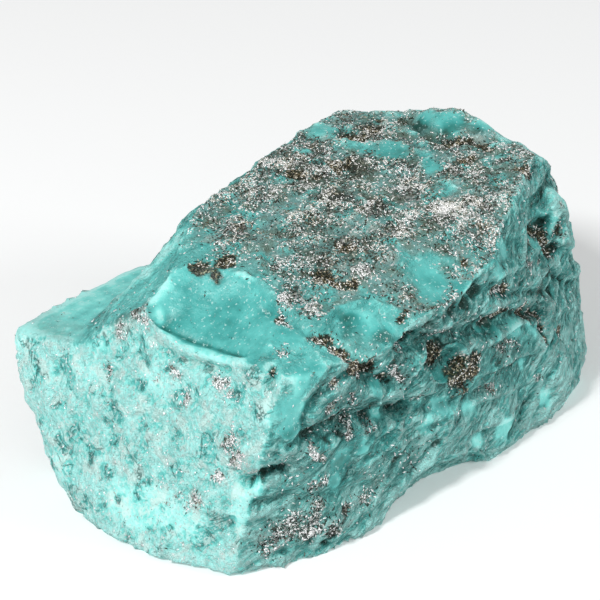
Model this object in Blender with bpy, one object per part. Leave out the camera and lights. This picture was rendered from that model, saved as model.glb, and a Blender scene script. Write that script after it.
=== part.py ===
"""Raw turquoise nugget: one hand-sized piece of broken vein turquoise.

The stone is built the way it was made. A block is knocked into shape by flat
fractures, a lower step of the same vein stays joined to its back left corner with a
sloping buttress above it, and round-bottomed flakes are struck off it. Bedding ledges,
grooves and pits are then worked into the skin, and the foot is cut flat where the stone
rests.

Frame: X runs along the stone, with the pale broken end at -X. -Y is the ledged side,
+Z is up, and the stone rests on z = 0. Lengths in the tables are millimetres.
"""
import math

import bmesh
import bpy
import numpy as np
from mathutils import Matrix, Vector

MM = 0.001

# The whole stone
LENGTH = 64.0              # a block that the fractures cut, long side along X
START_SIZE = 2.0 * LENGTH  # edge of the block before the first blow
FOOT_WASTE = 1.5           # stone below the resting face, cut off at the end
SKIN_STEP = 0.62           # spacing of the skin's points before it is thinned
TRIANGLES = 9200           # what the thinned skin keeps, foot not counted

# Fractures: the way each broken face looks out (turn from +X, tilt above level, in
# degrees) and a point that it passes through.
BODY_FACES = {
    "end": (183, 23.5, (-23.5, 1.2, 22.5)),
    "end_near": (203, 15.5, (-29.1, -15.0, 0.0)),
    "end_far": (157, -10, (-30.9, 9.8, 0.0)),
    "side_near": (246, 5.6, (-28.7, -15.3, 0.0)),
    "side_left": (263, 6, (-14.7, -20.3, 0.0)),
    "side_right": (272, 8, (15.3, -22.1, 2.0)),
    "side_high": (292, 20, (13.2, -16.8, 27.3)),
    "top": (200, 87.3, (-2.7, -0.4, 26.9)),
    "top_front": (255, 70, (-2.7, -9.4, 26.9)),
    "scoop_near": (215, 76, (-17.7, -12.4, 24.6)),
    "back_wall": (92, 14, (9.3, 16.1, 26.0)),
    "back_left": (126, 31, (-12.5, 9.0, 26.0)),
    "back_edge": (100, 46, (3.2, 15.0, 26.0)),
    "back_corner": (40, 55, (27.0, 8.4, 28.1)),
    "right": (5, 2, (32.1, -0.4, 14.0)),
    "right_back": (50, 8, (27.3, 12.1, 24.0)),
    "right_front": (318, 4, (28.0, -20.9, 8.0)),
    "right_high": (318, 30, (29.5, -14.1, 24.0)),
    "right_top": (350, 50, (30.9, -10.4, 26.4)),
    "under_back": (88, -45, (-28.9, 12.5, 0.0)),
    "under_right": (320, -45, (24.3, -18.9, 0.0)),
    "under_end": (10, -40, (23.3, -0.4, 0.0)),
    "under": (0, -90, (-2.7, -0.4, -FOOT_WASTE)),
}
STEP_FACES = {
    "end": BODY_FACES["end"],
    "end_far": BODY_FACES["end_far"],
    "step_top": (92, 77, (-18.0, 21.0, 15.4)),
    "step_back": (90, -30, (-14.7, 22.4, 15.0)),
    "step_corner": (133, -8, (-28.3, 21.6, 14.5)),
    "step_inside": (42, 12, (-2.7, 17.6, 14.0)),
    "step_front": (264, 0, (-2.7, -10.4, 10.0)),
    "step_buried": (0, 0, (6.0, 0.0, 10.0)),
    "under_back": BODY_FACES["under_back"],
    "under": BODY_FACES["under"],
}
BUTTRESS_FACES = {
    "end": BODY_FACES["end"],
    "end_far": BODY_FACES["end_far"],
    "slope": (128, 54, (-19.8, 4.9, 25.0)),
    "slope_foot": (126, 39, (-26.3, 11.2, 17.4)),
    "slope_back": (102, 29.5, (-16.3, 12.6, 22.4)),
    "step_back": STEP_FACES["step_back"],
    "step_corner": STEP_FACES["step_corner"],
    "step_inside": STEP_FACES["step_inside"],
    "top": BODY_FACES["top"],
    "buttress_front": (264, 0, (-2.7, -5.0, 10.0)),
    "under_back": BODY_FACES["under_back"],
    "under": BODY_FACES["under"],
}

# Rounded masses left standing, and flakes struck off: centre, half sizes, turn about Z.
LUMPS = {
    "back_nodule": ((27.9, 3.8, 24.8), (4.2, 7.6, 4.4), 30),
    "back_lump": ((16.8, 12.0, 23.8), (6.5, 5.0, 4.2), 0),
    "corner_rib": ((28.4, -10.6, 16.5), (4.0, 5.4, 7.6), 0),
}
FLAKES = {
    "scoop": ((-27.5, -4.6, 43.6), (22.0, 22.0, 22.0), 0),
    "front_chip": ((-11.2, -22.4, 35.0), (14.0, 14.0, 14.0), 0),
    "front_facet": ((1.3, -21.2, 37.3), (14.0, 14.0, 14.0), 0),
    "foot_notch": ((-3.5, -24.4, -1.5), (11.0, 5.8, 7.0), 0),
    "crest_flake": ((17.7, -25.0, 27.4), (9.5, 9.5, 9.5), 0),
    "high_scoop": ((24.2, -15.9, 22.8), (4.4, 3.0, 3.5), 22),
    "brown_cavity": ((0.9, -21.2, 15.7), (3.2, 3.3, 1.9), 0),
}

# Bedding on the ledged side: the beds fall towards +X, and each breaks back to a step.
BED_FALL = 0.27
BED_HEIGHT = 3.6
LEDGE_DEPTH = 0.95

# Grooves: points along the bottom, half width and depth.
GROOVES = {
    "main": ([(-19.6, -17.7, 14.9), (-14.4, -18.8, 15.0), (-9.4, -19.5, 13.4),
              (-6.5, -19.9, 12.9)], 1.2, 2.0),
    "main_tail": ([(-6.5, -19.9, 12.9), (1.1, -21.0, 10.8), (6.3, -21.3, 9.7)], 0.9, 0.8),
    "long": ([(-5.9, -19.1, 21.1), (-0.7, -19.9, 19.3), (7.9, -20.2, 17.1), (15.8, -20.1, 15.4),
              (20.4, -19.2, 13.8)], 1.1, 2.0),
    "under_crest": ([(6.3, -19.4, 23.2), (3.8, -19.6, 22.0), (-0.5, -19.6, 21.9),
                     (-5.9, -19.1, 21.1)], 0.8, 0.9),
    "high": ([(9.3, -19.6, 21.2), (13.1, -19.6, 19.2), (24.0, -17.7, 14.0)], 0.8, 1.0),
    "pyrite": ([(-4.9, -20.0, 13.7), (-1.2, -20.6, 12.4), (3.7, -21.0, 12.0)], 0.6, 0.7),
    "slot": ([(-26.3, -14.1, 10.7), (-24.9, -15.6, 11.8), (-22.7, -16.7, 11.8)], 0.8, 1.6),
    "dark_slot": ([(-22.0, -14.4, 22.9), (-22.7, -14.5, 21.7)], 0.6, 1.1),
    "recess": ([(-11.9, -18.6, 19.1), (-9.5, -19.0, 18.0), (-8.1, -19.3, 17.1)], 0.7, 1.1),
    "facet_edge": ([(-14.3, -18.1, 20.8), (-17.3, -17.7, 20.2), (-19.3, -17.4, 19.0),
                    (-20.3, -17.2, 17.0)], 0.7, 0.8),
    "rim_lip": ([(-23.6, 1.4, 22.3), (-23.7, -2.3, 21.9), (-22.9, -5.3, 22.2),
                 (-22.5, -10.3, 23.2)], 0.8, -0.6),
    "rim_line": ([(-23.0, 2.5, 23.3), (-22.6, 0.0, 22.8), (-22.0, -2.7, 22.5), (-21.5, -6.0, 22.7),
                  (-21.5, -9.5, 23.2)], 0.5, 0.5),
    "rim_crack": ([(-24.2, -0.4, 20.6), (-23.9, -3.9, 20.8), (-23.3, -8.5, 21.6)], 0.6, 1.0),
    "crumbly_lip": ([(-13.7, -1.6, 26.4), (-13.4, -4.7, 26.2), (-14.6, -9.1, 25.5)], 0.7, -0.4),
    "strip": ([(-21.9, -11.2, 23.7), (-19.7, -12.7, 23.9), (-17.4, -14.6, 23.7)], 0.7, 0.4),
    "vein": ([(-15.9, -7.1, 25.3), (-14.8, -12.5, 24.6), (-13.6, -15.0, 23.3), (-12.8, -17.2, 22.1),
              (-10.8, -18.7, 20.0)], 0.8, 0.8),
    "nodule_edge": ([(25.0, 7.3, 28.5), (24.1, 3.5, 28.3), (24.1, 0.6, 28.1), (26.9, -2.2, 28.2),
                     (29.3, -4.0, 28.2)], 0.9, 0.9),
    "end_scratch": ([(-27.4, -0.2, 13.7), (-27.4, -2.6, 13.4), (-27.4, -5.7, 13.1)], 0.9, 0.5),
    "end_hollow": ([(-22.7, 12.2, 15.5), (-24.6, 8.4, 16.0), (-26.5, 6.0, 16.1)], 0.8, 0.7),
    "end_notch": ([(-23.5, -9.0, 21.2), (-23.8, -10.8, 20.2)], 0.9, 0.6),
    "arc": ([(-6.7, -20.3, 9.6), (-4.5, -20.5, 9.6), (-1.9, -20.9, 9.1)], 0.6, 0.5),
    "low": ([(-25.9, -15.5, 8.5), (-22.3, -17.3, 8.1), (-17.8, -19.1, 6.9), (-13.0, -19.9, 5.6)],
            1.0, 0.7),
}

# Pits and, with a negative depth, knobs: centre, radius and depth.
PITS = {
    "edge_cavity": ((-11.3, -18.4, 20.8), 1.5, 1.2),
    "smooth_hollow": ((-15.1, -19.2, 9.4), 2.6, 0.9),
    "step_hollow": ((-25.1, 8.6, 16.0), 1.5, 0.8),
    "side_hole": ((19.2, -20.2, 12.1), 1.0, 1.2),
    "side_hole_low": ((22.9, -20.0, 9.2), 1.0, 0.8),
    "side_hole_far": ((28.1, -17.1, 11.2), 0.8, 0.7),
    "top_hole": ((14.3, -1.5, 27.6), 1.0, 0.8),
    "top_hollow": ((10.3, 5.5, 27.6), 1.2, 0.6),
    "top_brown": ((-7.6, -8.8, 26.4), 1.3, 0.5),
    "back_hole": ((17.2, 10.7, 28.1), 1.4, 0.9),
    "end_hole": ((-27.9, -13.6, 5.9), 1.4, 0.7),
    "rim_notch": ((-22.0, 1.6, 23.0), 1.2, 0.8),
    "right_lump": ((9.8, -22.0, 4.6), 3.2, -0.7),
    "far_lump": ((19.3, -21.6, 4.4), 3.0, -0.5),
    "ledge_lump": ((14.5, -19.8, 17.8), 2.2, -0.5),
    "back_pit": ((-4.7, 18.1, 15.0), 3.0, 1.2),
    "back_knob": ((13.3, 18.1, 14.0), 4.0, -1.0),
    "far_end_pit": ((31.9, 2.6, 12.0), 3.5, 1.2),
}

STONE_COLOUR = (0.235, 0.565, 0.540, 1.0)
STONE_ROUGHNESS = 0.48


def clear_scene():
    for thing in list(bpy.data.objects):
        bpy.data.objects.remove(thing, do_unlink=True)


def outward(turn, tilt):
    """Unit vector that looks out from a face."""
    turn = math.radians(turn)
    tilt = math.radians(tilt)
    level = math.cos(tilt)
    return Vector((math.cos(turn) * level, math.sin(turn) * level, math.sin(tilt)))


def to_object(bm, name):
    """Puts a finished bmesh in the scene as an object."""
    mesh = bpy.data.meshes.new(name)
    bm.to_mesh(mesh)
    bm.free()
    thing = bpy.data.objects.new(name, mesh)
    bpy.context.scene.collection.objects.link(thing)
    return thing


def broken_block(name, faces):
    """A block cut by one plane for each fracture, every cut closed by a new face."""
    bm = bmesh.new()
    bmesh.ops.create_cube(bm, size=START_SIZE * MM)
    for turn, tilt, point in faces.values():
        everything = bm.verts[:] + bm.edges[:] + bm.faces[:]
        cut = bmesh.ops.bisect_plane(
            bm, geom=everything, dist=1e-8, plane_co=Vector(point) * MM,
            plane_no=outward(turn, tilt), clear_outer=True)
        rim = [edge for edge in cut["geom_cut"] if isinstance(edge, bmesh.types.BMEdge)]
        if rim:
            bmesh.ops.contextual_create(bm, geom=rim)
    bmesh.ops.recalc_face_normals(bm, faces=bm.faces[:])
    return to_object(bm, name)


def round_mass(name, centre, half_sizes, turn):
    """An ellipsoid, turned about Z."""
    place = Matrix.Translation(Vector(centre) * MM) @ Matrix.Rotation(math.radians(turn), 4, "Z")
    place = place @ Matrix.Diagonal(Vector(half_sizes) * MM).to_4x4()
    bm = bmesh.new()
    bmesh.ops.create_icosphere(bm, subdivisions=5, radius=1.0, matrix=place)
    return to_object(bm, name)


def bake(thing):
    """Replaces an object's mesh with what its modifiers make of it."""
    graph = bpy.context.evaluated_depsgraph_get()
    shaped = bpy.data.meshes.new_from_object(thing.evaluated_get(graph))
    thing.modifiers.clear()
    thing.data = shaped


def combine(stone, other, operation):
    """Joins the other solid to the stone, or cuts it away, and removes the other."""
    step = stone.modifiers.new(other.name, "BOOLEAN")
    step.operation = operation
    step.solver = "EXACT"
    step.object = other
    bake(stone)
    bpy.data.objects.remove(other, do_unlink=True)


def even_skin(stone):
    """Lays evenly spaced points over the whole surface, ready for the relief."""
    step = stone.modifiers.new("even_skin", "REMESH")
    step.mode = "VOXEL"
    step.voxel_size = SKIN_STEP * MM
    bake(stone)


def noise(points, size, seed):
    """Smooth value noise from -1 to 1, with features about size apart."""
    lattice = np.random.default_rng(seed).uniform(-1.0, 1.0, (24, 24, 24))
    scaled = points / size
    cell = np.floor(scaled).astype(int)
    part = scaled - cell
    part = part * part * (3.0 - 2.0 * part)
    total = np.zeros(len(points))
    for corner in np.ndindex(2, 2, 2):
        weight = np.prod(np.where(corner, part, 1.0 - part), axis=1)
        i, j, k = ((cell + corner) % 24).T
        total += weight * lattice[i, j, k]
    return total


def rise(value, low, high):
    """0 below low, 1 above high, smooth between."""
    part = np.clip((value - low) / (high - low), 0.0, 1.0)
    return part * part * (3.0 - 2.0 * part)


def distance_to_path(points, path):
    """Shortest distance from each point to a chain of straight runs."""
    best = np.full(len(points), np.inf)
    for start, end in zip(path[:-1], path[1:]):
        start = np.array(start)
        run = np.array(end) - start
        along = np.clip((points - start) @ run / (run @ run), 0.0, 1.0)
        gap = np.linalg.norm(points - start - along[:, None] * run, axis=1)
        best = np.minimum(best, gap)
    return best


def ledges(points, normals):
    """Bedding steps: each bed swells slowly and then breaks back sharply under its lip."""
    bed = points[:, 2] + BED_FALL * points[:, 0] + 1.8 * noise(points, 8.0, 3)
    phase = np.mod(bed / BED_HEIGHT, 1.0)
    step = phase - rise(phase, 0.80, 1.0)
    facing = rise(-normals[:, 1], 0.55, 0.85) * rise(points[:, 0], -18.7, -6.7)
    hidden = 0.8 * rise(normals[:, 1], 0.5, 0.85) + 0.6 * rise(normals[:, 0], 0.6, 0.9)
    patchy = np.clip(0.5 + 1.1 * noise(points, 6.5, 4), 0.0, 1.2)
    return -LEDGE_DEPTH * step * (facing + hidden) * patchy


def relief(points, normals):
    """How far each point of the skin stands out of the plain form."""
    out = 0.35 * noise(points, 11.0, 1) + ledges(points, normals)
    for path, half_width, depth in GROOVES.values():
        out -= depth * np.exp(-(distance_to_path(points, path) / half_width) ** 2)
    for centre, radius, depth in PITS.values():
        gap = np.linalg.norm(points - np.array(centre), axis=1)
        out -= depth * np.exp(-(gap / radius) ** 2)
    struck = rise(normals[:, 2], 0.80, 0.95) * rise(-points[:, 0], 11.7, 14.7)
    broken_end = rise(-normals[:, 0], 0.75, 0.9)
    rough = 1.0 - 0.75 * struck + 0.7 * broken_end
    return out + rough * (0.22 * noise(points, 3.6, 5) + 0.10 * noise(points, 1.7, 6))


def work_the_skin(stone):
    """Pushes every point in or out along its normal by the relief."""
    mesh = stone.data
    places = np.empty(len(mesh.vertices) * 3)
    mesh.vertices.foreach_get("co", places)
    normals = np.empty(len(mesh.vertices) * 3)
    mesh.vertex_normals.foreach_get("vector", normals)
    points = places.reshape(-1, 3) / MM
    normals = normals.reshape(-1, 3)
    above_foot = rise(points[:, 2], -FOOT_WASTE, 0.5)
    points = points + normals * (relief(points, normals) * above_foot)[:, None]
    mesh.vertices.foreach_set("co", (points * MM).ravel())
    mesh.update()


def thin_out(stone):
    """Keeps few triangles where the stone is flat and many where it is broken."""
    triangles = sum(len(face.vertices) - 2 for face in stone.data.polygons)
    step = stone.modifiers.new("thin_out", "DECIMATE")
    step.ratio = TRIANGLES / triangles
    bake(stone)


def cut_the_foot(stone):
    """Cuts the stone off at z = 0 and closes the cut with one flat face."""
    bm = bmesh.new()
    bm.from_mesh(stone.data)
    everything = bm.verts[:] + bm.edges[:] + bm.faces[:]
    cut = bmesh.ops.bisect_plane(
        bm, geom=everything, dist=1e-6, plane_co=(0.0, 0.0, 0.0), plane_no=(0.0, 0.0, 1.0),
        clear_inner=True)
    rim = [edge for edge in cut["geom_cut"] if isinstance(edge, bmesh.types.BMEdge)]
    bmesh.ops.contextual_create(bm, geom=rim)
    bmesh.ops.triangulate(bm, faces=bm.faces[:])
    bmesh.ops.recalc_face_normals(bm, faces=bm.faces[:])
    bm.to_mesh(stone.data)
    bm.free()


def stone_material():
    material = bpy.data.materials.new("turquoise")
    material.use_nodes = True
    shader = material.node_tree.nodes["Principled BSDF"]
    shader.inputs["Base Color"].default_value = STONE_COLOUR
    shader.inputs["Roughness"].default_value = STONE_ROUGHNESS
    shader.inputs["Metallic"].default_value = 0.0
    return material


def build():
    clear_scene()
    stone = broken_block("turquoise_nugget", BODY_FACES)
    combine(stone, broken_block("step", STEP_FACES), "UNION")
    combine(stone, broken_block("buttress", BUTTRESS_FACES), "UNION")
    for name, shape in LUMPS.items():
        combine(stone, round_mass(name, *shape), "UNION")
    for name, shape in FLAKES.items():
        combine(stone, round_mass(name, *shape), "DIFFERENCE")
    even_skin(stone)
    work_the_skin(stone)
    thin_out(stone)
    cut_the_foot(stone)
    stone.data.materials.clear()
    stone.data.materials.append(stone_material())


build()
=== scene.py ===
# %% [markdown]
# # A raw turquoise nugget
#
# Turquoise fills cracks in rock as thin veins. A miner breaks the vein out in lumps, so
# a raw nugget is bounded by fractures: nearly flat faces, rounded shell-like hollows
# where a flake came off, and stepped ledges along the bedding. Grains of pyrite, brown
# rust and grey host rock, the matrix, run through the blue-green.
#
# This lesson makes one nugget in that order. First comes the plain form from its
# fractures, then the relief, then where each mineral lies, then the finish.

# %% Load the frame
import math
from types import SimpleNamespace

import bpy
import numpy as np
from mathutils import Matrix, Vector


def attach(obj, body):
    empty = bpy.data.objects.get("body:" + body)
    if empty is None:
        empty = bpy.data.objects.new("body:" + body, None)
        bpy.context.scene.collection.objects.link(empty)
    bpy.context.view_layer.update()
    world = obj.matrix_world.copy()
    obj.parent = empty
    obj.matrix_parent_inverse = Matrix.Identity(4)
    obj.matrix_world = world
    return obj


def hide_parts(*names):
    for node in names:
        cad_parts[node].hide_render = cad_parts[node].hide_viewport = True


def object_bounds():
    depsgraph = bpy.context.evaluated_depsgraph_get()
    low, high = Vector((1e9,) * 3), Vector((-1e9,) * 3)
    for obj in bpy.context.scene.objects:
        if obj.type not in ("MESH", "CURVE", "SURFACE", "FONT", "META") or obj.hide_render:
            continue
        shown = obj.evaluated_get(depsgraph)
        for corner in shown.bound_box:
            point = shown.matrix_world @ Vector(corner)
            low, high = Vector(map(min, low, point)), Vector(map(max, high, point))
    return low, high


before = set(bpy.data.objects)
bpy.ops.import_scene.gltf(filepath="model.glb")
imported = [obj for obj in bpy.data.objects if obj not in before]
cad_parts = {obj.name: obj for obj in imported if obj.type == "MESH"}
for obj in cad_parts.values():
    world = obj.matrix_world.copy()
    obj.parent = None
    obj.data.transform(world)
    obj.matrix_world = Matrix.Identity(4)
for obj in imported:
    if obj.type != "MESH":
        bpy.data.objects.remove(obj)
cad_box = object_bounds()
MM = 0.001
cad_low, cad_high = (np.array(corner) / MM for corner in cad_box)
print("CAD box in mm", np.round(cad_high - cad_low, 1))

# %% [markdown]
# ## The camera
#
# A long lens from a little way off keeps the stone's edges nearly parallel, which suits
# a small thing. The stone is seen over its near corner, so that the pale end, the
# ledged side and the top all show. The camera could be aimed with a constraint, but a
# turn, a height and a distance say the same in three nbronzes.

# %% Camera
VIEW_TURN = -47.0      # degrees round from looking along +Y
VIEW_HEIGHT = 32.0     # degrees above the floor
VIEW_DISTANCE = 233.0  # mm from the stone
LENS = 120.0
LOOK_AT = (-2.7, -0.4, 17.5)


def towards_camera(turn, height):
    """Unit vector (sin t cos h, -cos t cos h, sin h) from the stone to the eye."""
    turn, height = math.radians(turn), math.radians(height)
    return Vector((math.sin(turn) * math.cos(height), -math.cos(turn) * math.cos(height), math.sin(height)))


camera = bpy.data.objects.new("camera", bpy.data.cameras.new("camera"))
bpy.context.scene.collection.objects.link(camera)
camera.data.lens = LENS
camera.data.clip_start = 0.001
back = towards_camera(VIEW_TURN, VIEW_HEIGHT)
camera.location = (Vector(LOOK_AT) + back * VIEW_DISTANCE) * MM
camera.rotation_euler = back.to_track_quat("Z", "Y").to_euler()
bpy.context.scene.camera = camera
bpy.context.scene.view_settings.view_transform = "Standard"
print("camera at", [round(value, 3) for value in camera.location])

# %% [markdown]
# ## The fractures
#
# Each broken face is a plane: the way it looks out, as a turn from +X and a tilt above
# level in degrees, and a point that it passes through, in millimetres. The main block
# carries the scoop and the top. A lower step stands at its end, and a buttress fills
# the corner between them with a slope. A lump could be sculpted or cut with booleans,
# but a list of planes says exactly how this stone broke, and a formula can round the
# edges as wear does.

# %% Fractures of the main block, of the lower step and of the buttress
BODY_FACES = {
    "end": (183, 23.5, (-23.5, 1.2, 22.5)),
    "end_near": (203, 15.5, (-29.1, -15.0, 0.0)),
    "end_far": (157, -10, (-30.9, 9.8, 0.0)),
    "side_near": (246, 5.6, (-28.7, -15.3, 0.0)),
    "side_left": (263, 6, (-14.7, -20.3, 0.0)),
    "side_right": (272, 8, (15.3, -22.1, 2.0)),
    "side_high": (292, 20, (13.2, -16.8, 27.3)),
    "top": (200, 87.3, (-2.7, -0.4, 26.9)),
    "top_front": (255, 70, (-2.7, -9.4, 26.9)),
    "scoop_near": (215, 76, (-17.7, -12.4, 24.6)),
    "back_wall": (92, 14, (9.3, 16.1, 26.0)),
    "back_left": (126, 31, (-12.5, 9.0, 26.0)),
    "back_edge": (100, 46, (3.2, 15.0, 26.0)),
    "back_corner": (40, 55, (27.0, 8.4, 28.1)),
    "right": (5, 2, (32.1, -0.4, 14.0)),
    "right_back": (50, 8, (27.3, 12.1, 24.0)),
    "right_front": (318, 4, (28.0, -20.9, 8.0)),
    "right_high": (318, 30, (29.5, -14.1, 24.0)),
    "right_top": (350, 50, (30.9, -10.4, 26.4)),
    "under_back": (88, -45, (-28.9, 12.5, 0.0)),
    "under_right": (320, -45, (24.3, -18.9, 0.0)),
    "under_end": (10, -40, (23.3, -0.4, 0.0)),
    "under": (0, -90, (-2.7, -0.4, 0.0)),
}
STEP_FACES = {
    "end": BODY_FACES["end"],
    "end_far": BODY_FACES["end_far"],
    "step_top": (92, 77, (-18.0, 21.0, 15.4)),
    "step_back": (90, -30, (-14.7, 22.4, 15.0)),
    "step_corner": (133, -8, (-28.3, 21.6, 14.5)),
    "step_inside": (42, 12, (-2.7, 17.6, 14.0)),
    "step_front": (264, 0, (-2.7, -10.4, 10.0)),
    "step_buried": (0, 0, (6.0, 0.0, 10.0)),
    "under_back": BODY_FACES["under_back"],
    "under": BODY_FACES["under"],
}
BUTTRESS_FACES = {
    "end": BODY_FACES["end"],
    "end_far": BODY_FACES["end_far"],
    "slope": (128, 54, (-19.8, 4.9, 25.0)),
    "slope_foot": (126, 39, (-26.3, 11.2, 17.4)),
    "slope_back": (102, 29.5, (-16.3, 12.6, 22.4)),
    "step_back": STEP_FACES["step_back"],
    "step_corner": STEP_FACES["step_corner"],
    "step_inside": STEP_FACES["step_inside"],
    "top": BODY_FACES["top"],
    "buttress_front": (264, 0, (-2.7, -5.0, 10.0)),
    "under_back": BODY_FACES["under_back"],
    "under": BODY_FACES["under"],
}

# %% Rounded masses left standing, and flakes struck off: centre, half sizes, turn
LUMPS = {
    "back_nodule": ((27.9, 3.8, 24.8), (4.2, 7.6, 4.4), 30),
    "back_lump": ((16.8, 12.0, 23.8), (6.5, 5.0, 4.2), 0),
    "corner_rib": ((28.4, -10.6, 16.5), (4.0, 5.4, 7.6), 0),
}
FLAKES = {
    "scoop": ((-27.5, -4.6, 43.6), (22.0, 22.0, 22.0), 0),
    "front_chip": ((-11.2, -22.4, 35.0), (14.0, 14.0, 14.0), 0),
    "front_facet": ((1.3, -21.2, 37.3), (14.0, 14.0, 14.0), 0),
    "foot_notch": ((-3.5, -24.4, -1.5), (11.0, 5.8, 7.0), 0),
    "crest_flake": ((17.7, -25.0, 27.4), (9.5, 9.5, 9.5), 0),
    "high_scoop": ((24.2, -15.9, 22.8), (4.4, 3.0, 3.5), 22),
    "brown_cavity": ((0.9, -21.2, 15.7), (3.2, 3.3, 1.9), 0),
}

# %% [markdown]
# ## From planes to one rounded form
#
# The distance of a point from a convex block is the largest of its distances from the
# planes. A soft largest value, the logarithm of a sum of exponentials, rounds every
# edge by the same small amount. The lower step, the buttress and the lumps are joined
# to the block with a soft smallest value, and the flakes are taken away with its
# mirror image.

# %% The form as a formula
EDGE_ROUNDING = 0.28   # mm, wear on the fracture edges
JOIN_ROUNDING = 0.6    # mm, in the corner where the step meets the block
FLAKE_ROUNDING = 0.15  # mm, a flake's rim stays sharp


def outward(turn, tilt):
    """Unit vector a face looks along: (cos t cos h, sin t cos h, sin h)."""
    turn, tilt = math.radians(turn), math.radians(tilt)
    return np.array([math.cos(turn) * math.cos(tilt), math.sin(turn) * math.cos(tilt), math.sin(tilt)])


def soft_max(values, rounding):
    """rounding * log of the sum of exp(value / rounding): the largest value, rounded."""
    values = np.stack(values)
    largest = values.max(axis=0)
    return largest + rounding * np.log(np.exp((values - largest) / rounding).sum(axis=0))


def soft_min(a, b, rounding):
    """The smaller of a and b, blended by a parabola where they differ by under rounding."""
    share = np.clip(0.5 + 0.5 * (b - a) / rounding, 0.0, 1.0)
    return b * (1.0 - share) + a * share - rounding * share * (1.0 - share)


def block(points, faces):
    """Soft largest of the distances (point - place) . outward over the faces."""
    gaps = [(points - np.array(place)) @ outward(turn, tilt) for turn, tilt, place in faces.values()]
    return soft_max(gaps, EDGE_ROUNDING)


def round_mass(points, centre, half_sizes, turn):
    """(length of (x/a, y/b, z/c) - 1) * the smallest half size, turned about Z."""
    gap = points - np.array(centre)
    turn = math.radians(turn)
    along = gap[:, 0] * math.cos(turn) + gap[:, 1] * math.sin(turn)
    across = gap[:, 1] * math.cos(turn) - gap[:, 0] * math.sin(turn)
    scaled = np.stack([along, across, gap[:, 2]], axis=1) / np.array(half_sizes)
    return (np.linalg.norm(scaled, axis=1) - 1.0) * min(half_sizes)


def form(points):
    """Below 0 inside the stone, 0 on its plain surface, above 0 outside."""
    depth = soft_min(block(points, BODY_FACES), block(points, STEP_FACES), JOIN_ROUNDING)
    depth = soft_min(depth, block(points, BUTTRESS_FACES), JOIN_ROUNDING)
    for shape in LUMPS.values():
        depth = soft_min(depth, round_mass(points, *shape), JOIN_ROUNDING)
    for shape in FLAKES.values():
        depth = -soft_min(-depth, round_mass(points, *shape), FLAKE_ROUNDING)
    return depth


def facing(points, step=0.05):
    """Unit normals: the slope of the form by small differences along X, Y and Z."""
    slope = np.stack([form(points + shift) - form(points - shift) for shift in np.eye(3) * step], axis=1)
    return slope / np.linalg.norm(slope, axis=1, keepdims=True)


# %% [markdown]
# ## A skin without seam or pole
#
# A ball made of rings crowds its points at two poles. Six square grids on the sides of
# a cube, blown up to a ball, have none, and their shared edges are merged by their
# whole-nbronze places, so the skin is closed. Each grid is a function of two
# parameters. The ball is then shrunk on to the form along straight lines from a point
# deep in the stone, and relaxed so that its squares are about the same size everywhere.

# %% The skin
GRID_STEPS = 128            # squares along a cube's edge: 6 * 128 * 128 * 2 triangles
HEART = (-3.0, 0.0, 8.0)    # mm, a point from which the whole surface can be seen
FARTHEST = 60.0             # mm, outside the stone in every direction
HALVINGS = 24
RELAX_ROUNDS = 40
MORE_POINTS_TOWARDS = (-0.12, -0.22, 0.34)  # fewer points go to the foot


def cube_sphere(steps):
    """Directions and quads of a blown-up cube.

    On each side the parameters u and v run from 0 to steps; the side's point is
    tan(pi / 4 * (2 u / steps - 1)), the same for v, and 1 across, made one long.
    """
    line = np.arange(steps + 1)
    u, v = np.meshgrid(line, line, indexing="ij")
    zero, full = np.zeros_like(u), np.full_like(u, steps)
    sides = [(u, v, full), (v, u, zero), (full, u, v), (zero, v, u), (v, full, u), (u, zero, v)]
    lattice = np.concatenate([np.stack(side, axis=-1).reshape(-1, 3) for side in sides])
    keys = lattice @ np.array([1, steps + 1, (steps + 1) ** 2])
    _, first, merged = np.unique(keys, return_index=True, return_inverse=True)
    corner = np.arange(len(lattice)).reshape(6, steps + 1, steps + 1)
    quads = [corner[:, :-1, :-1], corner[:, 1:, :-1], corner[:, 1:, 1:], corner[:, :-1, 1:]]
    quads = merged.reshape(-1)[np.stack(quads, axis=-1).reshape(-1, 4)]
    spread = np.tan(math.pi / 4 * (2.0 * lattice[first] / steps - 1.0))
    return spread / np.linalg.norm(spread, axis=1, keepdims=True), quads


def shrunk(directions):
    """Halves the span between the heart and a far ball again and again until it meets the surface."""
    near = np.zeros(len(directions))
    far = np.full(len(directions), FARTHEST)
    for _ in range(HALVINGS):
        middle = 0.5 * (near + far)
        inside = form(HEART + directions * middle[:, None]) < 0.0
        near, far = np.where(inside, middle, near), np.where(inside, far, middle)
    return HEART + directions * far[:, None]


def neighbours_mean(values, quads):
    """The mean of each point's neighbours' values: their sum over the nbronze of edges that leave it."""
    ends = np.concatenate([quads[:, [0, 1]], quads[:, [1, 2]], quads[:, [2, 3]], quads[:, [3, 0]]])
    count = np.bincount(ends[:, 0], minlength=len(values))
    columns = [np.bincount(ends[:, 0], column[ends[:, 1]], len(values)) / count for column in values.T]
    return np.stack(columns, axis=1)


def relaxed(points, quads, rounds):
    """Moves points half way to their neighbours' mean along the surface, then back on to it."""
    for turn in range(rounds):
        if turn % 5 == 0:
            normals = facing(points)
        step = neighbours_mean(points, quads) - points
        step -= (step * normals).sum(axis=1, keepdims=True) * normals
        points = points + 0.5 * step
        points -= form(points)[:, None] * normals
    return points


directions, quads = cube_sphere(GRID_STEPS)
directions = directions + MORE_POINTS_TOWARDS
directions /= np.linalg.norm(directions, axis=1, keepdims=True)
plain = relaxed(shrunk(directions), quads, RELAX_ROUNDS)
normals = facing(plain)
print("skin:", len(plain), "points,", 2 * len(quads), "triangles")

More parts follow.
